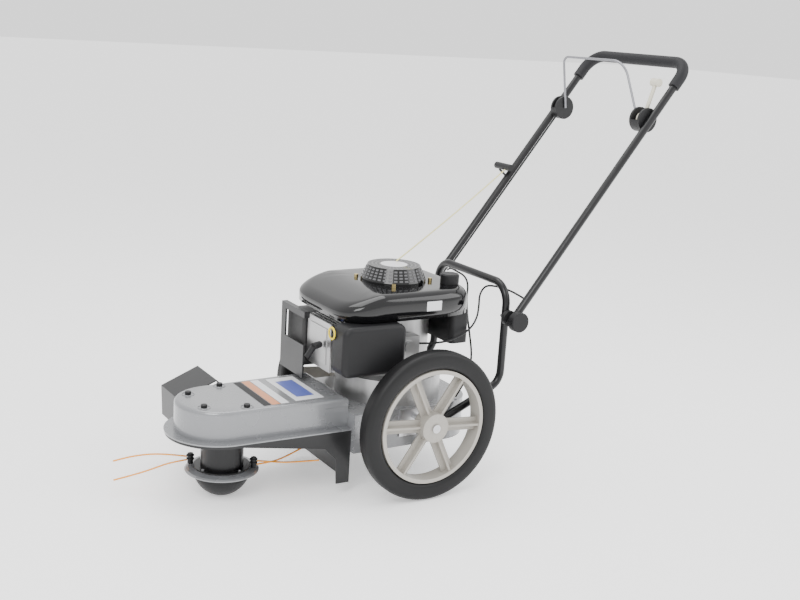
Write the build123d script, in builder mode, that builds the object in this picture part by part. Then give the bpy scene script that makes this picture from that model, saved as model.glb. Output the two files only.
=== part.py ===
"""Walk-behind high-wheel string mower: +X forward, +Y operator's left, +Z up, mm.

The origin is on the ground under the cutting head's spindle axis.
"""
import os
from math import atan2, cos, radians, sin, tan

from build123d import *

os.makedirs("parts", exist_ok=True)

# ---- clearances
fit = 0.05  # shaft in bore, radial
gap = 0.4  # faces that don't touch
# ---- wheels
tyre_r = 178.0
tyre_w = 44.0
rim_r = 135.0
rim_w = 38.0
wheel_y = 213.0
hub_r = 34.0
spoke_count = 6
spoke_turn = 4.8
axle_x = -417.4
axle_r = 6.35
axle_end = 241.5
# ---- deck
deck_t = 3.0
nose_x = 12.0
nose_r = 98.0
tongue_half = 106.0
deck_top = 228.0
flange_z = 157.0
flange_out = 22.0
body_front = -262.0
body_rear = -600.0
body_half = 140.0
body_top = 196.0
body_bottom = 104.0
body_corner = 88.0
# ---- cutting head
ball_r = 62.0
ball_h = 50.0
foot_r = 18.0
disc_r = 84.0
disc_z = 58.0
drum_r = 48.5
drum_flange_r = 65.0
drum_flange_z = 66.0
drum_top = 150.0
spindle_r = 10.0
post_ring = 72.0
post_turn = -32.3
line_d = 4.0
bolt_ring = 81.0
# ---- belt drive
head_pulley_r = 38.0
engine_pulley_r = 30.0
pulley_z = 168.0
pulley_w = 12.0
belt_t = 5.0
# ---- engine
crank_x = -427.0
crank_r = 11.0
block_r = 92.0
shroud_bottom = 412.0
shroud_top = 472.0
recoil_r = 63.0
recoil_base_r = 78.0
recoil_top = 509.0
# ---- handles
tube_r = 9.5
tube_wall = 1.6
handle_y = 180.0
grip_x = -1136.0
grip_z = 1011.0
pivot_x = -657.0
pivot_z = 398.0
leg_y = 148.0
arch_z = 476.0
grip_r = 14.5
bend_r = 48.0
bolt_r = 4.0

slope = atan2(grip_z - pivot_z, pivot_x - grip_x)  # rise of the upper handle towards the rear
along = Vector(-cos(slope), 0, sin(slope))
across = Vector(sin(slope), 0, cos(slope))
pivot = Vector(pivot_x, 0, pivot_z)


def on_handle(distance, lift=0.0, y=0.0):
    """A point at a distance up the handle from the fold pivot."""
    return pivot + along * distance + across * lift + Vector(0, y, 0)


def rod(start, end, radius):
    """A round bar between two points, added to the open part."""
    start, end = Vector(start), Vector(end)
    with BuildSketch(Plane(origin=start, z_dir=end - start)) as section:
        Circle(radius)
    extrude(section.sketch, amount=(end - start).length)


def disc(x, y, low, high, radius, mode=Mode.ADD):
    """An upright cylinder between two heights, added to the open part."""
    with BuildSketch(Plane(origin=(x, y, low))) as section:
        Circle(radius)
    extrude(section.sketch, amount=high - low, mode=mode)


def side_disc(x, z, near, far, radius, mode=Mode.ADD):
    """A cylinder across the mower from y = near to y = far."""
    with BuildSketch(Plane(origin=(x, near, z), z_dir=(0, 1, 0))) as section:
        Circle(radius)
    extrude(section.sketch, amount=far - near, mode=mode)


def box(low, high, mode=Mode.ADD):
    """A block between two corners, added to the open part."""
    middle = [(a + b) / 2 for a, b in zip(low, high)]
    with BuildSketch(Plane(origin=(middle[0], middle[1], low[2]))) as section:
        Rectangle(high[0] - low[0], high[1] - low[1])
    extrude(section.sketch, amount=high[2] - low[2], mode=mode)


def corner_radii(points, share=0.45):
    """Arc radii that use a share of the shorter run at each corner."""
    radii = []
    for before, here, after in zip(points, points[1:], points[2:]):
        run_in = Vector(here) - Vector(before)
        run_out = Vector(after) - Vector(here)
        turn = radians(run_in.get_angle(run_out))
        radii.append(share * min(run_in.length, run_out.length) / tan(turn / 2))
    return radii


def cord(label, points, diameter):
    """A cord's tube along runs joined by tangent arcs."""
    radii = corner_radii(points)
    with BuildPart() as strand:
        with BuildLine() as route:
            FilletPolyline(*points, radius=radii)
        with BuildSketch(Plane(origin=route.line @ 0, z_dir=route.line % 0)):
            Circle(diameter / 2)
        sweep(path=route.line)
    section = 3.14159265 * diameter**2 / 4
    print(label, "radii", [round(r) for r in radii], "length", round(route.wires()[0].length, 1),
          "volume share", round(strand.part.volume / (section * route.wires()[0].length), 3))
    strand.part.label = label
    export_step(strand.part, f"parts/{label}.step")


# ---- deck -------------------------------------------------------------------
def tongue(outset, low, high, mode=Mode.ADD):
    """The front tongue's plan, grown by an outset: a round nose with near-parallel sides."""
    half = tongue_half + outset
    with BuildSketch(Plane.XY.offset(low)) as plan:
        with Locations((nose_x, 0)):
            Circle(nose_r + outset)
        with BuildLine():
            Polyline((nose_x, nose_r + outset), (body_front, half), (body_front, -half),
                     (nose_x, -nose_r - outset), close=True)
        make_face()
    extrude(plan.sketch, amount=high - low, mode=mode)


def rear_body(inset, low, high, mode=Mode.ADD):
    """The rear housing's plan, shrunk by an inset: round corners at the back."""
    middle = (body_front + body_rear) / 2
    with BuildSketch(Plane(origin=(middle, 0, low))) as plan:
        Rectangle(body_front - body_rear - 2 * inset, 2 * (body_half - inset))
        fillet(plan.vertices().group_by(Axis.X)[0], body_corner - inset)
    extrude(plan.sketch, amount=high - low, mode=mode)


with BuildPart() as deck_shell:
    tongue(0, flange_z, deck_top)
    fillet(deck_shell.faces().sort_by(Axis.Z)[-1].edges(), 9)
    tongue(flange_out, flange_z, flange_z + deck_t)
    rear_body(0, body_bottom, body_top)
    box((body_front - 0.01, -tongue_half, body_top - 1), (body_front + 60, tongue_half, deck_top - 20))
    tongue(-deck_t, flange_z - 1, deck_top - deck_t, Mode.SUBTRACT)
    rear_body(deck_t, body_bottom - 1, body_top - deck_t, Mode.SUBTRACT)
    box((body_front - 2 * deck_t, -tongue_half + 2 * deck_t, flange_z - 20),
        (body_front + 2 * deck_t, tongue_half - 2 * deck_t, body_top - deck_t), Mode.SUBTRACT)
    disc(crank_x, 0, body_bottom, body_top + 1, 30, Mode.SUBTRACT)
    for turn in (36, -36, 106, -106):
        disc(bolt_ring * cos(radians(turn)), bolt_ring * sin(radians(turn)), deck_top - 20, deck_top + 1,
             4 + gap, Mode.SUBTRACT)
    box((-254, -96, deck_top - 10), (-230, -72, deck_top + 1), Mode.SUBTRACT)
    side_disc(axle_x, tyre_r, -body_half - 1, body_half + 1, axle_r + gap, Mode.SUBTRACT)
deck_shell.part.label = "deck_shell"
export_step(deck_shell.part, "parts/deck_shell.step")

skirt_z = flange_z - gap
skirt_low = 30.0
with BuildPart() as deck_skirt:
    tongue(flange_out - 2, skirt_low, skirt_z)
    tongue(flange_out - 5, skirt_low - 1, skirt_z + 1, Mode.SUBTRACT)
    box((body_front - gap - 3, -tongue_half, skirt_low), (body_front - gap, tongue_half, body_bottom - 2))
    with BuildSketch(Plane(origin=(0, -200, 0), z_dir=(0, 1, 0), x_dir=(1, 0, 0))):
        with BuildLine():
            Polyline((-230, -skirt_low + 10), (-226, -90), (-196, -120), (0, -150), (150, -151), (150, 0),
                     (-230, 0), close=True)
        make_face()
    extrude(amount=400, mode=Mode.SUBTRACT)
    box((body_front + 1, -tongue_half + 8, skirt_low - 1), (body_front + 30, tongue_half - 8, flange_z + 10),
        Mode.SUBTRACT)
deck_skirt.part.label = "deck_skirt"
export_step(deck_skirt.part, "parts/deck_skirt.step")

guard_t = 2.5
guard_y = -126.0
with BuildPart() as debris_guard:
    with BuildSketch(Plane(origin=(0, -246, 0), z_dir=(0, 1, 0), x_dir=(1, 0, 0))):
        with BuildLine():
            Polyline((-52, -211), (-36, -226), (56, -187), (53, -113), (53 - guard_t, -113),
                     (56 - guard_t, -185.4), (-35.4, -223), (-50, -209), close=True)
        make_face()
    extrude(amount=246 + guard_y)
debris_guard.part.label = "debris_guard"
export_step(debris_guard.part, "parts/debris_guard.step")

# ---- spindle and cutting head ------------------------------------------------
with BuildPart() as spindle_housing:
    disc(0, 0, pulley_z + pulley_w + 4, 205, 30)
    disc(0, 0, 205, deck_top - deck_t, 92)
    disc(0, 0, drum_top, deck_top, spindle_r + gap, Mode.SUBTRACT)
    for turn in (36, -36, 106, -106):
        disc(bolt_ring * cos(radians(turn)), bolt_ring * sin(radians(turn)), 190, deck_top, 4 + gap,
             Mode.SUBTRACT)
spindle_housing.part.label = "spindle_housing"
export_step(spindle_housing.part, "parts/spindle_housing.step")

with BuildPart() as housing_bolts:
    for turn in (36, -36, 106, -106):
        x, y = bolt_ring * cos(radians(turn)), bolt_ring * sin(radians(turn))
        disc(x, y, 202, deck_top, 4)
        disc(x, y, deck_top, deck_top + 7, 7)
housing_bolts.part.label = "housing_bolts"
export_step(housing_bolts.part, "parts/housing_bolts.step")

with BuildPart() as spindle_shaft:
    disc(0, 0, 52, 222, spindle_r)
spindle_shaft.part.label = "spindle_shaft"
export_step(spindle_shaft.part, "parts/spindle_shaft.step")

with BuildPart() as head_pulley:
    disc(0, 0, pulley_z, pulley_z + pulley_w, head_pulley_r)
    disc(0, 0, pulley_z - 1, pulley_z + pulley_w + 1, spindle_r + fit, Mode.SUBTRACT)
head_pulley.part.label = "head_pulley"
export_step(head_pulley.part, "parts/head_pulley.step")

with BuildPart() as line_disc:
    with BuildSketch(Plane.XZ):
        with BuildLine():
            Polyline((spindle_r + fit, 63), (60, 63), (74, 61), (82, disc_z), (disc_r, disc_z),
                     (disc_r, disc_z + 2), (80, disc_z + 5), (drum_flange_r, drum_flange_z),
                     (spindle_r + fit, drum_flange_z), close=True)
        make_face()
    revolve(axis=Axis.Z)
line_disc.part.label = "line_disc"
export_step(line_disc.part, "parts/line_disc.step")

with BuildPart() as head_drum:
    disc(0, 0, drum_flange_z, drum_flange_z + 3, drum_flange_r - 1)
    disc(0, 0, drum_flange_z + 3, drum_top, drum_r)
    disc(0, 0, drum_flange_z + 6, drum_top + 1, drum_r - 3, Mode.SUBTRACT)
    disc(0, 0, drum_flange_z - 1, drum_top, spindle_r + fit, Mode.SUBTRACT)
head_drum.part.label = "head_drum"
export_step(head_drum.part, "parts/head_drum.step")

with BuildPart() as drum_screws:
    for turn in range(20, 380, 90):
        disc(57 * cos(radians(turn)), 57 * sin(radians(turn)), drum_flange_z + 3, drum_flange_z + 5.5, 3.5)
drum_screws.part.label = "drum_screws"
export_step(drum_screws.part, "parts/drum_screws.step")

with BuildPart() as line_posts:
    for turn in (post_turn, post_turn + 180):
        x, y = post_ring * cos(radians(turn)), post_ring * sin(radians(turn))
        disc(x, y, drum_flange_z + 0.2, 90, 6.5)
        for height in (68, 76, 84):
            disc(x, y, height, height + 2.5, 9 if height > 70 else 6.6)
line_posts.part.label = "line_posts"
export_step(line_posts.part, "parts/line_posts.step")

line_routes = {
    "trimmer_line_1": [(67.4, -42.7, 81.6), (105, -66, 84), (145, -88, 82), (185, -106, 74), (212, -124, 62)],
    "trimmer_line_2": [(67.2, -43, 73.3), (104, -58, 66), (142, -64, 54), (186, -72, 43), (226, -78, 36)],
    "trimmer_line_3": [(-67.4, 42.7, 81.6), (-106, 52, 76), (-140, 58, 72), (-174, 68, 73), (-206, 82, 76)],
    "trimmer_line_4": [(-67.2, 43, 73.3), (-104, 46, 74), (-138, 42, 80), (-172, 36, 88), (-206, 30, 98)],
}
for label, points in line_routes.items():
    cord(label, points, line_d)

with BuildPart() as ground_ball:
    with BuildSketch(Plane.XZ):
        with BuildLine():
            l1 = Line((spindle_r + gap, 6), (foot_r, 0))
            l2 = ThreePointArc(l1 @ 1, (48, 19), (ball_r, ball_h - 8))
            Polyline(l2 @ 1, (ball_r, ball_h), (spindle_r + gap, ball_h), l1 @ 0)
        make_face()
    revolve(axis=Axis.Z)
    disc(0, 0, 0, 8, foot_r)
ground_ball.part.label = "ground_ball"
export_step(ground_ball.part, "parts/ground_ball.step")

# ---- engine ------------------------------------------------------------------
with BuildPart() as engine_block:
    disc(crank_x, 0, body_top, body_top + 60, 128)
    disc(crank_x, 0, body_top + 60, shroud_bottom - 12, block_r)
    box((crank_x, -52, 280), (-300, 52, 385))
    disc(crank_x, 0, body_top - 1, shroud_bottom, crank_r + gap, Mode.SUBTRACT)
engine_block.part.label = "engine_block"
export_step(engine_block.part, "parts/engine_block.step")

with BuildPart() as cylinder_head:
    for x in range(-298, -236, 10):
        box((x, -58, 276), (x + 4, 58, 390))
    box((-300 + gap, -40, 290), (-232, 40, 376))
cylinder_head.part.label = "cylinder_head"
export_step(cylinder_head.part, "parts/cylinder_head.step")

with BuildPart() as crankshaft:
    disc(crank_x, 0, 120, shroud_bottom + 20, crank_r)
crankshaft.part.label = "crankshaft"
export_step(crankshaft.part, "parts/crankshaft.step")

with BuildPart() as engine_pulley:
    disc(crank_x, 0, pulley_z, pulley_z + pulley_w, engine_pulley_r)
    disc(crank_x, 0, pulley_z - 1, pulley_z + pulley_w + 1, crank_r + fit, Mode.SUBTRACT)
engine_pulley.part.label = "engine_pulley"
export_step(engine_pulley.part, "parts/engine_pulley.step")



def belt_plan(outset, mode=Mode.ADD):
    """The belt's outline round both pulleys, grown by an outset."""
    with BuildSketch(Plane.XY.offset(pulley_z + 1)) as plan:
        Circle(head_pulley_r + outset)
        with Locations((crank_x, 0)):
            Circle(engine_pulley_r + outset)
        make_hull()
    extrude(plan.sketch, amount=pulley_w - 2, mode=mode)


with BuildPart() as drive_belt:
    belt_plan(gap + belt_t)
    belt_plan(gap, Mode.SUBTRACT)
drive_belt.part.label = "drive_belt"
export_step(drive_belt.part, "parts/drive_belt.step")

with BuildPart() as flywheel:
    disc(crank_x, 0, shroud_bottom - 6, shroud_bottom + 24, 82)
    disc(crank_x, 0, shroud_bottom - 7, shroud_bottom + 25, crank_r + fit, Mode.SUBTRACT)
flywheel.part.label = "flywheel"
export_step(flywheel.part, "parts/flywheel.step")


def shroud_plan(inset, low, high, shrink=0.0, mode=Mode.ADD):
    """The blower housing's plan: round at the back, narrowing to a blunt wedge in front."""
    rear = 150 - inset
    front = -225 - inset
    with BuildSketch(Plane.XY.offset(low)) as plan:
        with Locations((crank_x, 0)):
            Circle(rear)
        with BuildLine():
            Polyline((front, 87 - inset), (crank_x + 60, 137 - inset), (crank_x + 60, -137 + inset),
                     (front, -87 + inset), close=True)
        make_face()
    extrude(plan.sketch, amount=high - low, taper=shrink, mode=mode)


with BuildPart() as engine_shroud:
    shroud_plan(0, shroud_bottom, shroud_top, 8)
    with BuildSketch(Plane(origin=(0, -200, 0), z_dir=(0, 1, 0), x_dir=(1, 0, 0))):
        with BuildLine():
            Polyline((-210, -464), (-250, -464), (-300, -481), (-210, -481), close=True)
        make_face()
    extrude(amount=400, mode=Mode.SUBTRACT)
    shroud_plan(4, shroud_bottom - 1, shroud_bottom + 38, 8, Mode.SUBTRACT)
    disc(crank_x, 0, shroud_bottom, shroud_top + 1, 60, Mode.SUBTRACT)
engine_shroud.part.label = "engine_shroud"
export_step(engine_shroud.part, "parts/engine_shroud.step")

with BuildPart() as recoil_cover:
    with BuildSketch(Plane.XZ):
        with BuildLine():
            Polyline((0, recoil_top), (recoil_r, recoil_top), (recoil_base_r, shroud_top + 5),
                     (recoil_base_r, shroud_top), (recoil_base_r - 3, shroud_top),
                     (recoil_r - 3, recoil_top - 3), (0, recoil_top - 3), close=True)
        make_face()
    revolve(axis=Axis.Z)
recoil_cover = Pos(crank_x, 0, 0) * recoil_cover.part
recoil_cover.label = "recoil_cover"
export_step(recoil_cover, "parts/recoil_cover.step")

with BuildPart() as recoil_bolts:
    for turn in (60, 150, 240, 330):
        disc(crank_x + 88 * cos(radians(turn)), 88 * sin(radians(turn)), shroud_top, shroud_top + 8, 5)
recoil_bolts.part.label = "recoil_bolts"
export_step(recoil_bolts.part, "parts/recoil_bolts.step")

with BuildPart() as fuel_tank:
    box((-575, -110, 334), (-524, 118, shroud_bottom - gap))
    fillet(fuel_tank.edges().filter_by(Axis.Z), 12)
fuel_tank.part.label = "fuel_tank"
export_step(fuel_tank.part, "parts/fuel_tank.step")

with BuildPart() as fuel_cap:
    disc(-538, 76, shroud_top + gap, shroud_top + 24, 22.5)
    chamfer(fuel_cap.faces().sort_by(Axis.Z)[-1].edges(), 3)
fuel_cap.part.label = "fuel_cap"
export_step(fuel_cap.part, "parts/fuel_cap.step")

with BuildPart() as air_cleaner_cover:
    with BuildSketch(Plane(origin=(-289, 114, 353), z_dir=(0, 1, 0), x_dir=(1, 0, 0))):
        RectangleRounded(162, 116, 22)
    extrude(amount=56)
    fillet(air_cleaner_cover.faces().sort_by(Axis.Y)[-1].edges(), 12)
air_cleaner_cover.part.label = "air_cleaner_cover"
export_step(air_cleaner_cover.part, "parts/air_cleaner_cover.step")

with BuildPart() as air_cleaner_base:
    box((-355, 100, 310), (-223, 114, 396))
    box((-330, 58 + gap, 330), (-300, 100, 376))
air_cleaner_base.part.label = "air_cleaner_base"
export_step(air_cleaner_base.part, "parts/air_cleaner_base.step")

with BuildPart() as carburettor:
    box((-430, 96, 320), (-372, 128, 366))
    side_disc(-402, 343, 128, 136, 14)
carburettor.part.label = "carburettor"
export_step(carburettor.part, "parts/carburettor.step")

with BuildPart() as muffler:
    box((-330, -150, 258), (-225, -62, 385))
    fillet(muffler.edges(), 8)
muffler.part.label = "muffler"
export_step(muffler.part, "parts/muffler.step")

with BuildPart() as muffler_guard:
    box((-214, -150, 240), (-210, -30, 320))
    box((-214, -150, 320), (-210, -128, 400))
    box((-224, -150, 385 + gap), (-210, -30, 400))
muffler_guard.part.label = "muffler_guard"
export_step(muffler_guard.part, "parts/muffler_guard.step")

with BuildPart() as plug_boot:
    rod((-226, 20, 335), (-200, 40, 338), 8)
    rod((-202, 38, 338), (-190, 30, 312), 7)
plug_boot.part.label = "plug_boot"
export_step(plug_boot.part, "parts/plug_boot.step")

# ---- axle and wheels -----------------------------------------------------------
with BuildPart() as axle:
    side_disc(axle_x, tyre_r, body_half - 20, axle_end, axle_r)
    side_disc(axle_x, tyre_r, -axle_end, 20 - body_half, axle_r)
axle.part.label = "axle"
export_step(axle.part, "parts/axle.step")

with BuildPart() as axle_brackets:
    for side in (1, -1):
        near, far = sorted((side * (body_half + 0.2), side * (body_half + 5)))
        box((-500, near, 130), (-380, far, 196))
    side_disc(axle_x, tyre_r, -200, 200, axle_r + fit, Mode.SUBTRACT)
axle_brackets.part.label = "axle_brackets"
export_step(axle_brackets.part, "parts/axle_brackets.step")

with BuildPart() as push_nuts:
    for side in (1, -1):
        near, far = sorted((side * axle_end, side * (axle_end + 2)))
        side_disc(axle_x, tyre_r, near, far, 10)
push_nuts.part.label = "push_nuts"
export_step(push_nuts.part, "parts/push_nuts.step")


def wheel(side, name):
    """One wheel: a spoked plastic rim and the tyre seated on it."""
    middle = side * wheel_y
    with BuildPart() as rim:
        side_disc(axle_x, tyre_r, middle - rim_w / 2, middle + rim_w / 2, rim_r)
        side_disc(axle_x, tyre_r, middle - rim_w, middle + rim_w, rim_r - 9, Mode.SUBTRACT)
        near, far = sorted((side * (wheel_y - 16), side * (wheel_y + 26)))
        side_disc(axle_x, tyre_r, near, far, hub_r)
        for index in range(spoke_count):
            turn = spoke_turn + index * 360 / spoke_count
            with BuildSketch(Plane(origin=(axle_x, middle, tyre_r), z_dir=(0, 1, 0),
                                   x_dir=(cos(radians(turn)), 0, sin(radians(turn))))):
                with Locations(((hub_r + rim_r - 9) / 2, 0)):
                    Rectangle(rim_r - 9 - hub_r + 8, 30)
            extrude(amount=side * 4)
            with BuildSketch(Plane(origin=(axle_x, middle, tyre_r), z_dir=(0, 1, 0),
                                   x_dir=(cos(radians(turn)), 0, sin(radians(turn))))):
                with Locations(((hub_r + rim_r - 9) / 2, 0)):
                    Rectangle(rim_r - 9 - hub_r + 8, 5)
            extrude(amount=side * 17)
        side_disc(axle_x, tyre_r, middle - 40, middle + 40, axle_r + fit, Mode.SUBTRACT)
    rim.part.label = f"rim_{name}"
    export_step(rim.part, f"parts/rim_{name}.step")
    with BuildPart() as tyre:
        with BuildSketch(Plane(origin=(axle_x, middle, tyre_r), z_dir=(1, 0, 0), x_dir=(0, 1, 0))):
            with Locations((0, (tyre_r + rim_r) / 2)):
                RectangleRounded(tyre_w, tyre_r - rim_r, 12)
        revolve(axis=Axis((axle_x, 0, tyre_r), (0, 1, 0)))
        side_disc(axle_x, tyre_r, middle - 40, middle + 40, rim_r, Mode.SUBTRACT)
    tyre.part.label = f"tyre_{name}"
    export_step(tyre.part, f"parts/tyre_{name}.step")


wheel(1, "left")
wheel(-1, "right")


# ---- handles ---------------------------------------------------------------------
def tube(points, radii, radius, mode=Mode.ADD):
    """A round bar bent along runs joined by arcs, added to the open part."""
    with BuildLine() as route:
        FilletPolyline(*points, radius=radii)
    with BuildSketch(Plane(origin=route.line @ 0, z_dir=route.line % 0)) as section:
        Circle(radius)
    sweep(section.sketch, path=route.line, mode=mode)


tail_y = body_half + 5 + tube_r + gap
leg_route = [(-470, tail_y, 154), (-560, tail_y, 194), (pivot_x, leg_y, 236), (pivot_x, leg_y, arch_z),
             (pivot_x, -leg_y, arch_z), (pivot_x, -leg_y, 236), (-560, -tail_y, 194), (-470, -tail_y, 154)]
leg_bends = [200, 42, 50, 50, 42, 200]
with BuildPart() as lower_handle:
    tube(leg_route, leg_bends, tube_r)
    tube(leg_route, leg_bends, tube_r - tube_wall, Mode.SUBTRACT)
    side_disc(pivot_x, pivot_z, -300, 300, bolt_r + gap, Mode.SUBTRACT)
lower_handle.part.label = "lower_handle"
export_step(lower_handle.part, "parts/lower_handle.step")

knuckle_in = leg_y + tube_r + gap
knuckle_mid = (knuckle_in + handle_y - tube_r) / 2
for side, name in ((1, "left"), (-1, "right")):
    with BuildPart() as knuckle:
        near, far = sorted((side * knuckle_in, side * (knuckle_mid - 0.2)))
        side_disc(pivot_x, pivot_z, near, far, 19)
        side_disc(pivot_x, pivot_z, -300, 300, bolt_r + gap, Mode.SUBTRACT)
    knuckle.part.label = f"knuckle_{name}"
    export_step(knuckle.part, f"parts/knuckle_{name}.step")
    with BuildPart() as outer:
        near, far = sorted((side * (knuckle_mid + 0.2), side * (handle_y - tube_r - gap)))
        side_disc(pivot_x, pivot_z, near, far, 19)
        side_disc(pivot_x, pivot_z, -300, 300, bolt_r + gap, Mode.SUBTRACT)
    outer.part.label = f"knuckle_outer_{name}"
    export_step(outer.part, f"parts/knuckle_outer_{name}.step")
    with BuildPart() as knob:
        near, far = sorted((side * (handle_y + tube_r + gap), side * (handle_y + tube_r + 22)))
        side_disc(pivot_x, pivot_z, near, far, 24)
        chamfer(knob.edges(), 2)
        near, far = sorted((side * (leg_y - tube_r - 5), side * (handle_y + tube_r + 6)))
        side_disc(pivot_x, pivot_z, near, far, bolt_r)
    knob.part.label = f"fold_knob_{name}"
    export_step(knob.part, f"parts/fold_knob_{name}.step")

ends = []
for side in (1, -1):
    ends.append(on_handle(-14, 0, side * handle_y))
    ends.append(Vector(grip_x, side * handle_y, grip_z))
with BuildPart() as upper_handle:
    tube([ends[0], ends[1], ends[3], ends[2]], [bend_r, bend_r], tube_r)
    tube([ends[0], ends[1], ends[3], ends[2]], [bend_r, bend_r], tube_r - tube_wall, Mode.SUBTRACT)
    side_disc(pivot_x, pivot_z, -300, 300, bolt_r + gap, Mode.SUBTRACT)
upper_handle.part.label = "upper_handle"
export_step(upper_handle.part, "parts/upper_handle.step")

grip_ends = [Vector(grip_x, side * handle_y, grip_z) - along * 74 for side in (1, -1)]
with BuildPart() as foam_grip:
    tube([grip_ends[0], ends[1], ends[3], grip_ends[1]], [bend_r, bend_r], grip_r)
    with BuildLine() as bore:
        FilletPolyline(ends[0], ends[1], ends[3], ends[2], radius=[bend_r, bend_r])
    with BuildSketch(Plane(origin=bore.line @ 0, z_dir=bore.line % 0)):
        Circle(tube_r + fit)
    sweep(path=bore.line, mode=Mode.SUBTRACT)
foam_grip.part.label = "foam_grip"
export_step(foam_grip.part, "parts/foam_grip.step")

lever_at = 600.0
near_y = handle_y - tube_r - gap
for side, name, width in ((1, "left", 34), (-1, "right", 22)):
    with BuildPart() as housing:
        near, far = sorted((side * near_y, side * (near_y - width)))
        place = on_handle(lever_at)
        side_disc(place.X, place.Z, near, far, 30)
        near, far = sorted((side * (near_y - 6), side * (near_y - width + 6)))
        side_disc(place.X, place.Z, near, far, 24, Mode.SUBTRACT)
        slot = on_handle(lever_at + 32)
        box((slot.X - 40, near, place.Z), (slot.X + 60, far, place.Z + 40), Mode.SUBTRACT)
    housing.part.label = f"lever_housing_{name}"
    export_step(housing.part, f"parts/lever_housing_{name}.step")

with BuildPart() as control_lever:
    place = on_handle(lever_at, 0, near_y - 17)
    tip = on_handle(lever_at + 90, 32, near_y - 17)
    side_disc(place.X, place.Z, near_y - 23, near_y - 11, 18)
    rod(place, tip, 5)
    side_disc(tip.X, tip.Z, near_y - 29, near_y - 5, 10)
control_lever.part.label = "control_lever"
export_step(control_lever.part, "parts/control_lever.step")

bail_r = 3.0
bail_near = near_y - 34 - gap - bail_r
bail_far = -(near_y - 22 - gap - bail_r)
with BuildPart() as bail:
    tube([on_handle(lever_at, 0, bail_far), on_handle(lever_at + 92, 100, bail_far),
          on_handle(lever_at + 102, 90, 75), on_handle(lever_at, 0, bail_near)], [18, 60], bail_r)
bail.part.label = "bail"
export_step(bail.part, "parts/bail.step")

guide_at = 360.0
with BuildPart() as rope_guide:
    place = on_handle(guide_at, tube_r + gap, -handle_y)
    tip = on_handle(guide_at, tube_r + 26, -handle_y)
    rod(place, tip, 3)
rope_guide.part.label = "rope_guide"
export_step(rope_guide.part, "parts/rope_guide.step")

with BuildPart() as pull_handle:
    low = on_handle(guide_at + 14, tube_r + 20, -handle_y - 32)
    high = on_handle(guide_at + 14, tube_r + 20, -handle_y + 32)
    rod(low, high, 9)
pull_handle.part.label = "pull_handle"
export_step(pull_handle.part, "parts/pull_handle.step")

# ---- control cables and starter rope -------------------------------------------
cable_r = 2.5
cable_y = handle_y - tube_r - 3
for side, name in ((1, "left"), (-1, "right")):
    with BuildPart() as cable:
        rod(on_handle(67, -6, side * cable_y), on_handle(lever_at - 30, -6, side * cable_y), cable_r)
    cable.part.label = f"cable_{name}"
    export_step(cable.part, f"parts/cable_{name}.step")

cord("throttle_cable", [(-698.7, 167.5, 441.6), (-690, 148, 450), (-676, 118, 458), (-668, 84, 458),
                        (-662, 52, 452), (-648, 50, 430), (-632, 74, 406), (-606, 104, 384),
                        (-568, 128, 366), (-520, 138, 352), (-474, 136, 345), (-431, 118, 345)], 2 * cable_r)
cord("drive_cable", [(-698.7, -167.5, 441.6), (-690, -148, 450), (-676, -116, 458), (-668, -80, 458),
                     (-664, -40, 456), (-654, -8, 442), (-636, 14, 412), (-622, 42, 378), (-612, 72, 338),
                     (-604, 98, 298), (-588, 118, 258), (-564, 124, 226), (-551, 118, 199)], 2 * cable_r)
cord("starter_rope", [(-446, -20, 511.2), (-658, -90, 606), (-855, -163, 704.5)], 3.5)
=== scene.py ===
import bmesh
import bpy
import numpy as np
from mathutils import Matrix, Vector


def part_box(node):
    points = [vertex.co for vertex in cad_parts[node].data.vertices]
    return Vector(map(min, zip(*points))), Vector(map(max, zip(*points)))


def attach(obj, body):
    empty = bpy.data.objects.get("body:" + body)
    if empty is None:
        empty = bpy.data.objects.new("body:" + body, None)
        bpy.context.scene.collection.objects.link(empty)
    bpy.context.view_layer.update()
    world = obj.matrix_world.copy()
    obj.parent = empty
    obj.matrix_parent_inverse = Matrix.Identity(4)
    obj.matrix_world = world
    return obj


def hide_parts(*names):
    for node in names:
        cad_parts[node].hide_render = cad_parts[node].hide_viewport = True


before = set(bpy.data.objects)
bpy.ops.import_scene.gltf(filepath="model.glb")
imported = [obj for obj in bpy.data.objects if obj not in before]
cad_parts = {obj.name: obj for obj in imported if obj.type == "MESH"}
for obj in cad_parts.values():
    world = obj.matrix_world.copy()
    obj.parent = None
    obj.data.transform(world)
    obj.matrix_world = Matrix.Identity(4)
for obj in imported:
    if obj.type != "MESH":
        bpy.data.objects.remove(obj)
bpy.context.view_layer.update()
print("frame loaded")

# camera: eye point in metres, turns in radians
cameraValues = {"eye": (0.9656, 2.2420, 1.0696), "yaw": 0.5633, "pitch": 0.2407, "roll": 0.0634,
                "lens": 51.07, "sensor": 36}


# view direction from yaw and pitch; right and up then turn by the roll about it
def addCamera(values):
    yaw, pitch, roll = values["yaw"], values["pitch"], values["roll"]
    ahead = Vector((-np.sin(yaw) * np.cos(pitch), -np.cos(yaw) * np.cos(pitch), -np.sin(pitch)))
    level = Vector((-np.cos(yaw), np.sin(yaw), 0))
    upright = level.cross(ahead)
    right = level * np.cos(roll) + upright * np.sin(roll)
    up = upright * np.cos(roll) - level * np.sin(roll)
    data = bpy.data.cameras.new("camera")
    data.lens = values["lens"]
    data.sensor_width = values["sensor"]
    camera = bpy.data.objects.new("camera", data)
    turn = Matrix((right, up, -ahead)).transposed().to_4x4()
    camera.matrix_world = Matrix.Translation(values["eye"]) @ turn
    bpy.context.collection.objects.link(camera)
    bpy.context.scene.camera = camera


addCamera(cameraValues)


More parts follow.
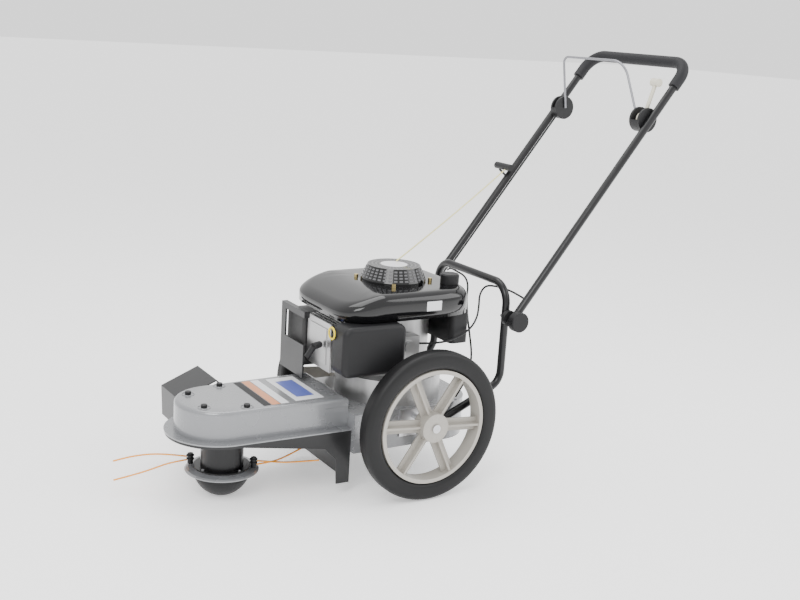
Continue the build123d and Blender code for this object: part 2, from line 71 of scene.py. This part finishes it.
def newGroup(name, inputs, outputs):
    group = bpy.data.node_groups.new(name, "ShaderNodeTree")
    for label, kind, value in inputs:
        socket = group.interface.new_socket(label, in_out="INPUT", socket_type=kind)
        socket.default_value = value
    for label, kind in outputs:
        group.interface.new_socket(label, in_out="OUTPUT", socket_type=kind)
    return group, group.nodes.new("NodeGroupInput"), group.nodes.new("NodeGroupOutput")


# mottled colour, varying roughness, fine grain height, and pale wear on the edges
def makeFinish():
    number, colour = "NodeSocketFloat", "NodeSocketColor"
    group, gin, gout = newGroup("paintFinish", [
        ("Colour", colour, (1, 1, 1, 1)), ("Wear", colour, (1, 1, 1, 1)), ("Rough", number, 0.4),
        ("Grain", number, 900.0), ("WearAmount", number, 0.2), ("Mottle", number, 0.15)],
        [("Colour", colour), ("Roughness", number), ("Height", number)])
    nodes, links = group.nodes, group.links
    place = nodes.new("ShaderNodeTexCoord")
    broad = nodes.new("ShaderNodeTexNoise")
    broad.inputs["Scale"].default_value = 14
    broad.inputs["Detail"].default_value = 5
    fine = nodes.new("ShaderNodeTexNoise")
    fine.inputs["Detail"].default_value = 3
    links.new(place.outputs["Object"], broad.inputs["Vector"])
    links.new(place.outputs["Object"], fine.inputs["Vector"])
    links.new(gin.outputs["Grain"], fine.inputs["Scale"])
    dark = nodes.new("ShaderNodeMix")
    dark.data_type = "RGBA"
    dark.blend_type = "MULTIPLY"
    links.new(gin.outputs["Mottle"], dark.inputs["Factor"])
    links.new(gin.outputs["Colour"], dark.inputs["A"])
    links.new(broad.outputs["Fac"], dark.inputs["B"])
    edge = nodes.new("ShaderNodeNewGeometry")
    ramp = nodes.new("ShaderNodeValToRGB")
    ramp.color_ramp.elements[0].position = 0.54
    ramp.color_ramp.elements[1].position = 0.62
    links.new(edge.outputs["Pointiness"], ramp.inputs["Fac"])
    amount = nodes.new("ShaderNodeMath")
    amount.operation = "MULTIPLY"
    links.new(ramp.outputs["Color"], amount.inputs[0])
    links.new(gin.outputs["WearAmount"], amount.inputs[1])
    worn = nodes.new("ShaderNodeMix")
    worn.data_type = "RGBA"
    links.new(amount.outputs["Value"], worn.inputs["Factor"])
    links.new(dark.outputs["Result"], worn.inputs["A"])
    links.new(gin.outputs["Wear"], worn.inputs["B"])
    rough = nodes.new("ShaderNodeMath")
    rough.operation = "MULTIPLY_ADD"
    rough.inputs[1].default_value = 0.14
    links.new(broad.outputs["Fac"], rough.inputs[0])
    links.new(gin.outputs["Rough"], rough.inputs[2])
    links.new(worn.outputs["Result"], gout.inputs["Colour"])
    links.new(rough.outputs["Value"], gout.inputs["Roughness"])
    links.new(fine.outputs["Fac"], gout.inputs["Height"])
    return group


finishGroup = makeFinish()


def makeMaterial(name, colour, rough, metal=0.0, coat=0.0, grain=900.0, bump=0.1, wear=(0.5, 0.5, 0.5),
                 worn=0.1, mottle=0.12, gleam=0.5):
    material = bpy.data.materials.new(name)
    material.use_nodes = True
    nodes, links = material.node_tree.nodes, material.node_tree.links
    shader = nodes["Principled BSDF"]
    shader.inputs["Metallic"].default_value = metal
    shader.inputs["Coat Weight"].default_value = coat
    shader.inputs["Coat Roughness"].default_value = 0.06
    shader.inputs["Specular IOR Level"].default_value = gleam
    finish = nodes.new("ShaderNodeGroup")
    finish.node_tree = finishGroup
    finish.inputs["Colour"].default_value = (*colour, 1)
    finish.inputs["Wear"].default_value = (*wear, 1)
    finish.inputs["Rough"].default_value = rough - 0.07
    finish.inputs["Grain"].default_value = grain
    finish.inputs["WearAmount"].default_value = worn
    finish.inputs["Mottle"].default_value = mottle
    raised = nodes.new("ShaderNodeBump")
    raised.inputs["Strength"].default_value = bump
    raised.inputs["Distance"].default_value = 0.0005
    links.new(finish.outputs["Colour"], shader.inputs["Base Color"])
    links.new(finish.outputs["Roughness"], shader.inputs["Roughness"])
    links.new(finish.outputs["Height"], raised.inputs["Height"])
    links.new(raised.outputs["Normal"], shader.inputs["Normal"])
    return material


finishes = {
    "deckGrey": makeMaterial("deckGrey", (0.22, 0.225, 0.235), 0.27, 0.3, 0.5, 1400, 0.05, (0.5, 0.5,
                             0.5), 0.15),
    "blackPaint": makeMaterial("blackPaint", (0.006, 0.006, 0.007), 0.30, 0, 0.08, 700, 0.1, (0.1, 0.1,
                               0.1), 0.12,
                               gleam=0.3),
    "glossBlack": makeMaterial("glossBlack", (0.003, 0.003, 0.0035), 0.13, 0, 0.35, 300, 0.02, (0.03,
                               0.03, 0.03), 0.1,
                              gleam=0.3),
    "matteBlack": makeMaterial("matteBlack", (0.008, 0.008, 0.009), 0.45, 0, 0, 1600, 0.3, (0.06, 0.06,
                               0.06), 0.15,
                               gleam=0.28),
    "foamBlack": makeMaterial("foamBlack", (0.010, 0.010, 0.012), 0.6, 0, 0, 1200, 0.5, (0.04, 0.04,
                              0.04), 0.1,
                              gleam=0.3),
    "tyreRubber": makeMaterial("tyreRubber", (0.006, 0.006, 0.0065), 0.5, 0, 0, 900, 0.25, (0.03, 0.03,
                               0.03), 0.12,
                               gleam=0.28),
    "rimBeige": makeMaterial("rimBeige", (0.34, 0.32, 0.285), 0.42, 0, 0, 1500, 0.12, (0.5, 0.48, 0.44),
                             0.25),
    "creamPlastic": makeMaterial("creamPlastic", (0.62, 0.59, 0.48), 0.38, 0, 0, 1100, 0.1, (0.8, 0.78,
                                 0.7), 0.2),
    "castAlloy": makeMaterial("castAlloy", (0.42, 0.42, 0.42), 0.36, 0.9, 0, 600, 0.6, (0.7, 0.7, 0.7), 0.3),
    "zincSteel": makeMaterial("zincSteel", (0.52, 0.52, 0.54), 0.28, 1, 0, 500, 0.15, (0.8, 0.8, 0.8), 0.3),
    "goldZinc": makeMaterial("goldZinc", (0.55, 0.42, 0.16), 0.3, 1, 0, 500, 0.2, (0.8, 0.7, 0.4), 0.3),
    "ironDark": makeMaterial("ironDark", (0.06, 0.06, 0.06), 0.6, 0.6, 0, 500, 0.5),
    "bailGrey": makeMaterial("bailGrey", (0.26, 0.26, 0.28), 0.35, 0.7, 0, 600, 0.1),
    "lineOrange": makeMaterial("lineOrange", (0.95, 0.36, 0.01), 0.3, 0, 0.2, 800, 0.1, (1, 0.6, 0.1),
                               0.1, 0.3),
    "ropePale": makeMaterial("ropePale", (0.80, 0.74, 0.36), 0.8, 0, 0, 2500, 0.8, (0.9, 0.9, 0.6), 0.1, 0.3),
    "slotGrey": makeMaterial("slotGrey", (0.13, 0.13, 0.135), 0.6, gleam=0.2),
    "yellowPlastic": makeMaterial("yellowPlastic", (0.75, 0.58, 0.02), 0.4),
    "whitePlate": makeMaterial("whitePlate", (0.75, 0.76, 0.78), 0.3, 0, 0.3),
    "orangePlate": makeMaterial("orangePlate", (0.62, 0.22, 0.07), 0.35, 0, 0.3),
    "bluePlate": makeMaterial("bluePlate", (0.10, 0.13, 0.42), 0.35, 0, 0.3),
}
wearing = {
    "deckGrey": ["deck_shell", "line_disc"],
    "blackPaint": ["deck_skirt", "debris_guard", "head_drum", "muffler_guard", "lower_handle", "upper_handle",
                   "rope_guide"],
    "glossBlack": ["engine_shroud", "recoil_cover"],
    "matteBlack": ["air_cleaner_cover", "air_cleaner_base", "fuel_tank", "fuel_cap", "ground_ball",
                   "line_posts",
                   "knuckle_left", "knuckle_right", "knuckle_outer_left", "knuckle_outer_right", "plug_boot",
                   "lever_housing_left", "lever_housing_right", "pull_handle", "fold_knob_left",
                   "housing_bolts",
                   "fold_knob_right", "cable_left", "cable_right", "drive_belt"],
    "foamBlack": ["foam_grip"],
    "tyreRubber": ["tyre_left", "tyre_right"],
    "rimBeige": ["rim_left", "rim_right"],
    "creamPlastic": ["control_lever"],
    "castAlloy": ["engine_block", "cylinder_head", "carburettor"],
    "zincSteel": ["spindle_shaft", "spindle_housing", "head_pulley", "engine_pulley", "crankshaft", "axle",
                  "axle_brackets", "push_nuts", "drum_screws"],
    "goldZinc": ["recoil_bolts"],
    "ironDark": ["flywheel", "muffler"],
    "bailGrey": ["bail"],
}


def wear(obj, material):
    obj.data.materials.clear()
    obj.data.materials.append(finishes[material])


for finishName, nodeNames in wearing.items():
    for nodeName in nodeNames:
        wear(bpy.data.objects[nodeName], finishName)
print("materials placed")

# cords: routes in mm, widths and lengths in metres
cordValues = {
    "lineOne": dict(node="trimmer_line_1", body="head", width=0.004, far="bare", stiff="stiff", lay="loose",
                    finish="lineOrange", slot="line_orange", length=0.169,
                    route=[(67.4, -42.7, 81.6), (105, -66, 84), (145, -88, 82),
                           (185, -106, 74), (212, -124, 62)]),
    "lineTwo": dict(node="trimmer_line_2", body="head", width=0.004, far="bare", stiff="stiff", lay="loose",
                    finish="lineOrange", slot="line_orange", length=0.168,
                    route=[(67.2, -43, 73.3), (104, -58, 66), (142, -64, 54),
                           (186, -72, 43), (226, -78, 36)]),
    "lineThree": dict(node="trimmer_line_3", body="head", width=0.004, far="bare", stiff="stiff", lay="loose",
                      finish="lineOrange", slot="line_orange", length=0.145,
                      route=[(-67.4, 42.7, 81.6), (-106, 52, 76), (-140, 58, 72),
                             (-174, 68, 73), (-206, 82, 76)]),
    "lineFour": dict(node="trimmer_line_4", body="head", width=0.004, far="bare", stiff="stiff", lay="loose",
                     finish="lineOrange", slot="line_orange", length=0.144,
                     route=[(-67.2, 43, 73.3), (-104, 46, 74), (-138, 42, 80),
                            (-172, 36, 88), (-206, 30, 98)]),
    "throttleLead": dict(node="throttle_cable", body="root", width=0.005, far="object", stiff="medium",
                         lay="hanging", finish="matteBlack", slot="belt_rubber", length=0.420,
                         route=[(-698.7, 167.5, 441.6), (-690, 148, 450), (-676, 118, 458), (-668, 84, 458),
                                (-662, 52, 452), (-648, 50, 430), (-632, 74, 406), (-606, 104, 384),
                                (-568, 128, 366), (-520, 138, 352), (-474, 136, 345), (-431, 118, 345)]),
    "driveLead": dict(node="drive_cable", body="root", width=0.005, far="object", stiff="medium",
                      lay="hanging", finish="matteBlack", slot="belt_rubber", length=0.475,
                      route=[(-698.7, -167.5, 441.6), (-690, -148, 450), (-676, -116, 458), (-668, -80, 458),
                             (-664, -40, 456), (-654, -8, 442), (-636, 14, 412), (-622, 42, 378),
                             (-612, 72, 338), (-604, 98, 298), (-588, 118, 258), (-564, 124, 226),
                             (-551, 118, 199)]),
    "pullRope": dict(node="starter_rope", body="root", width=0.0035, far="object", stiff="limp", lay="taut",
                     finish="ropePale", slot="rope", length=0.4745,
                     route=[(-446, -20, 511.2), (-658, -90, 606), (-855, -163, 704.5)]),
}
for cordName, values in cordValues.items():
    route = np.array(values["route"]) / 1000
    data = bpy.data.curves.new(cordName, "CURVE")
    data.dimensions = "3D"
    data.bevel_depth = values["width"] / 2
    data.bevel_resolution = 4
    data.use_fill_caps = True
    spline = data.splines.new("NURBS")
    spline.points.add(len(route) - 1)
    spline.points.foreach_set("co", np.c_[route, np.ones(len(route))].ravel())
    spline.order_u = 3
    spline.use_endpoint_u = True
    spline.resolution_u = 12
    cordPiece = bpy.data.objects.new(cordName, data)
    bpy.context.collection.objects.link(cordPiece)
    wear(cordPiece, values["finish"])
    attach(cordPiece, values["body"])
    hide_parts(values["node"])
print("cords laid")


# a closed mesh from points[u, v, 3]: the last row and column join the first
def gridPiece(name, points, finish, body):
    rows, columns = points.shape[:2]
    index = np.arange(rows * columns).reshape(rows, columns)
    index = np.vstack([index, index[:1]])
    index = np.hstack([index, index[:, :1]])
    faces = np.stack([index[:-1, :-1], index[1:, :-1], index[1:, 1:], index[:-1, 1:]], -1).reshape(-1, 4)
    mesh = bpy.data.meshes.new(name)
    mesh.from_pydata(points.reshape(-1, 3).tolist(), [], faces.tolist())
    mesh.validate()
    mesh.update()
    piece = bpy.data.objects.new(name, mesh)
    bpy.context.collection.objects.link(piece)
    bm = bmesh.new()
    bm.from_mesh(mesh)
    bmesh.ops.remove_doubles(bm, verts=bm.verts, dist=1e-6)
    bmesh.ops.recalc_face_normals(bm, faces=bm.faces)
    bm.to_mesh(mesh)
    bm.free()
    wear(piece, finish)
    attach(piece, body)
    return piece


tyreValues = {"centreX": -0.4174, "centreZ": 0.178, "outer": 0.1780, "inner": 0.135, "width": 0.044,
              "planeY": 0.213, "turns": 288, "grooves": 144, "grooveDepth": 0.0011}


# section: a superellipse across width and height, swept about the axle; r dips by a fine wave on the tread
def makeTyre(side, name, body, node):
    v = tyreValues
    around = np.linspace(0, 2 * np.pi, v["turns"], endpoint=False)[:, None]
    section = np.linspace(0, 2 * np.pi, 48, endpoint=False)[None, :]
    bend = lambda wave: np.sign(wave) * np.abs(wave) ** 0.62
    middle = (v["outer"] + v["inner"]) / 2
    radius = middle + (v["outer"] - v["inner"]) / 2 * bend(np.sin(section)) + 0 * around
    offset = v["width"] / 2 * bend(np.cos(section)) + 0 * around
    tread = np.clip((radius - v["outer"] + 0.006) / 0.006, 0, 1)
    wave = 0.5 + 0.5 * np.sign(np.sin(v["grooves"] * around + offset * 500))
    rings = 0.5 + 0.5 * np.cos(offset * 2 * np.pi / 0.006)
    radius = radius - v["grooveDepth"] * tread * (0.6 * wave + 0.4 * rings)
    points = np.stack([v["centreX"] + radius * np.cos(around), side * v["planeY"] + offset,
                       v["centreZ"] + radius * np.sin(around)], -1)
    tyre = gridPiece(name, points, "tyreRubber", body)
    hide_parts(node)
    tyre.data.shade_smooth()


makeTyre(1, "tyreTreadLeft", "wheel_left", "tyre_left")
makeTyre(-1, "tyreTreadRight", "wheel_right", "tyre_right")
print("tyres made")

recoilValues = {"x": -0.427, "topZ": 0.5091, "topR": 0.063, "baseZ": 0.477, "baseR": 0.078, "columns": 36,
                "slotTurn": 0.11, "rows": 4, "rowFrom": 0.12, "rowTo": 0.24, "rowPitch": 0.21, "rings": 3,
                "ringFrom": 0.036, "ringWidth": 0.005, "ringPitch": 0.009, "discR": 0.032}


# a patch on a cone: radius and height run from inner, low to outer, high; angle from start to end
def ringPatch(inner, outer, low, high, start, end, steps=6, lift=0.0004):
    share = np.linspace(0, 1, 2)[:, None]
    angle = np.linspace(start, end, steps)[None, :]
    radius = inner + (outer - inner) * share + lift
    height = low + (high - low) * share + 0 * angle
    return np.stack([recoilValues["x"] + radius * np.cos(angle), radius * np.sin(angle), height], -1)


def mergePatches(name, patches, finish, body):
    vertices, faces, start = [], [], 0
    for patch in patches:
        rows, columns = patch.shape[:2]
        index = start + np.arange(rows * columns).reshape(rows, columns)
        vertices.append(patch.reshape(-1, 3))
        corners = [index[:-1, :-1], index[:-1, 1:], index[1:, 1:], index[1:, :-1]]
        faces.append(np.stack(corners, -1).reshape(-1, 4))
        start += rows * columns
    mesh = bpy.data.meshes.new(name)
    mesh.from_pydata(np.vstack(vertices).tolist(), [], np.vstack(faces).tolist())
    mesh.update()
    piece = bpy.data.objects.new(name, mesh)
    bpy.context.collection.objects.link(piece)
    wear(piece, finish)
    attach(piece, body)
    return piece


v = recoilValues
patches = []
for column in range(v["columns"]):
    start = column * 2 * np.pi / v["columns"]
    end = start + v["slotTurn"]
    for row in range(v["rows"]):
        shares = np.array([v["rowFrom"], v["rowTo"]]) + row * v["rowPitch"]
        radii = v["baseR"] + (v["topR"] - v["baseR"]) * shares
        heights = v["baseZ"] + (v["topZ"] - v["baseZ"]) * shares
        patches.append(ringPatch(*radii, *heights, start, end))
    for ring in range(v["rings"]):
        inner = v["ringFrom"] + ring * v["ringPitch"]
        patches.append(ringPatch(inner, inner + v["ringWidth"], v["topZ"], v["topZ"], start, end, 6, 0))
mergePatches("recoilSlots", patches, "slotGrey", "root")
mergePatches("recoilDisc", [ringPatch(0.0001, v["discR"], v["topZ"], v["topZ"], 0, 2 * np.pi, 48, 0)],
             "whitePlate", "root")


# a flat plate, bilinear between four corners
def plate(name, corners, finish, body="root"):
    c = np.array(corners, float)
    s = np.linspace(0, 1, 3)[:, None, None]
    t = np.linspace(0, 1, 3)[None, :, None]
    return mergePatches(name, [(1 - s) * ((1 - t) * c[0] + t * c[1]) + s * ((1 - t) * c[3] + t * c[2])],
                        finish, body)


panelValues = {"lift": 0.0004, "upper": 0.0003}  # heights over the deck and over the plate below
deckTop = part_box("deck_shell")[1][2] + panelValues["lift"]
upperTop = deckTop + panelValues["upper"]
for name, front, back, half, height, finish in (
        ("deckPanelDark", -0.060, -0.078, 0.086, deckTop, "matteBlack"),
        ("deckPanelOrange", -0.080, -0.100, 0.086, deckTop, "orangePlate"),
        ("deckPanelWhite", -0.102, -0.122, 0.086, deckTop, "whitePlate"),
        ("deckPanelPale", -0.140, -0.212, 0.082, deckTop, "whitePlate"),
        ("deckPanelBlue", -0.154, -0.198, 0.058, upperTop, "bluePlate")):
    plate(name, [(back, -half, height), (front, -half, height), (front, half, height), (back, half, height)],
          finish)

shroudLow, shroudHigh = (np.array(corner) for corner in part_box("engine_shroud"))
shroudValues = {"turns": 160, "square": 0.42, "edge": 0.024, "mouth": 0.060, "well": 0.092, "wellTop": 0.034,
                "lip": 0.003, "wedgeStart": -0.325, "wedgeDrop": 0.5}


# plan: a superellipse; profile: wall, quarter-round edge, top to the mouth circle, down into a round well
# the height above the rim shrinks with x ahead of the wedge line
def makeShroud():
    v, low, high = shroudValues, shroudLow, shroudHigh
    angle = np.linspace(0, 2 * np.pi, v["turns"], endpoint=False)
    centre, half = (low + high) / 2, (high - low) / 2
    power = lambda wave: np.sign(wave) * np.abs(wave) ** v["square"]
    unit = np.stack([power(np.cos(angle)), power(np.sin(angle))], -1)
    ring = lambda radius: np.stack([recoilValues["x"] + radius * np.cos(angle), radius * np.sin(angle)], -1)
    plan = lambda inset: centre[:2] + unit * (half[:2] - inset)
    rows = [(plan(0), low[2]), (plan(0), (low[2] + high[2]) / 2)]
    for bend in np.linspace(0, np.pi / 2, 9):
        rows.append((plan(v["edge"] * (1 - np.cos(bend))), high[2] - v["edge"] * (1 - np.sin(bend))))
    for share in (0.25, 0.5, 0.75, 1):
        rows.append((plan(v["edge"]) * (1 - share) + ring(v["mouth"]) * share, high[2]))
    rows += [(ring(v["mouth"]), high[2] - v["lip"]), (ring(v["well"]), low[2] + v["wellTop"]),
             (ring(v["well"]), low[2])]
    points = np.stack([np.c_[flat, np.full(len(angle), height)] for flat, height in rows], 1)
    ahead = np.clip((points[..., 0] - v["wedgeStart"]) / (high[0] - v["wedgeStart"]), 0, 1)
    points[..., 2] = low[2] + (points[..., 2] - low[2]) * (1 - v["wedgeDrop"] * ahead ** 1.3)
    shroud = gridPiece("shroudShell", points, "glossBlack", "root")
    shroud.data.shade_smooth()
    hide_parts("engine_shroud")


makeShroud()
stickerValues = {"back": -0.470, "front": -0.430, "low": 0.430, "high": 0.452, "lift": 0.0003}
v = stickerValues
side = shroudHigh[1] + v["lift"]
plate("sideSticker", [(v["back"], side, v["low"]), (v["front"], side, v["low"]),
                      (v["front"], side, v["high"]), (v["back"], side, v["high"])], "whitePlate")


# torus: centre + (radius + tube cos w)(a cos u + b sin u) + tube sin w n
def makeRing(name, centre, normal, radius, tube, finish, body):
    n = Vector(normal).normalized()
    a = n.orthogonal().normalized()
    b = n.cross(a)
    a, b, n = (np.array(w) for w in (a, b, n))
    u = np.linspace(0, 2 * np.pi, 48, endpoint=False)[:, None, None]
    w = np.linspace(0, 2 * np.pi, 14, endpoint=False)[None, :, None]
    outward = a * np.cos(u) + b * np.sin(u)
    points = np.array(centre) + (radius + tube * np.cos(w)) * outward + tube * np.sin(w) * n
    ring = gridPiece(name, points, finish, body)
    ring.data.shade_smooth()


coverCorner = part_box("air_cleaner_cover")[1]
yellowValues = {"ahead": 0.003, "in": 0.055, "down": 0.022, "radius": 0.013, "tube": 0.0022}
v = yellowValues
makeRing("yellowRing", (coverCorner[0] + v["ahead"], coverCorner[1] - v["in"], coverCorner[2] - v["down"]),
         (1, 0, 0), v["radius"], v["tube"], "yellowPlastic", "root")
dimpleValues = {"boltRing": 0.081, "turns": [36, -36, 106, -106], "sink": 0.0003, "radius": 0.0135,
                "tube": 0.0012}
v = dimpleValues
for index, turn in enumerate(np.radians(v["turns"])):
    spot = (v["boltRing"] * np.cos(turn), v["boltRing"] * np.sin(turn), deckTop - v["sink"])
    makeRing("dimple%d" % index, spot, (0, 0, 1), v["radius"], v["tube"], "deckGrey", "root")
print("shroud and panels made")

# floor and lights
reach = 30  # half the floor's width
floorMesh = bpy.data.meshes.new("floor")
floorMesh.from_pydata([(-reach, -reach, 0), (reach, -reach, 0), (reach, reach, 0), (-reach, reach, 0)], [],
                      [(0, 1, 2, 3)])
floor = bpy.data.objects.new("floor", floorMesh)
bpy.context.collection.objects.link(floor)
floorPaint = bpy.data.materials.new("floorPaint")
floorPaint.use_nodes = True
floorShader = floorPaint.node_tree.nodes["Principled BSDF"]
floorShader.inputs["Base Color"].default_value = (0.93, 0.93, 0.93, 1)
floorShader.inputs["Emission Color"].default_value = (1, 1, 1, 1)
floorShader.inputs["Emission Strength"].default_value = 0.45
floorShader.inputs["Roughness"].default_value = 0.7
floorMesh.materials.append(floorPaint)
world = bpy.data.worlds.new("studio")
bpy.context.scene.world = world
world.use_nodes = True
world.node_tree.nodes["Background"].inputs["Color"].default_value = (1, 1, 1, 1)
world.node_tree.nodes["Background"].inputs["Strength"].default_value = 1.5
for lightName, spot, size, power in (("key", (1.6, 1.8, 2.8), 1.6, 70), ("fill", (-2.4, 1.6, 2.0), 1.8, 35),
                                     ("top", (-0.4, -0.6, 3.0), 2.0, 50)):
    lamp = bpy.data.lights.new(lightName, "AREA")
    lamp.size = size
    lamp.energy = power
    holder = bpy.data.objects.new(lightName, lamp)
    holder.location = spot
    holder.rotation_euler = (Vector((-0.4, 0, 0.35)) - Vector(spot)).to_track_quat("-Z", "Y").to_euler()
    bpy.context.collection.objects.link(holder)
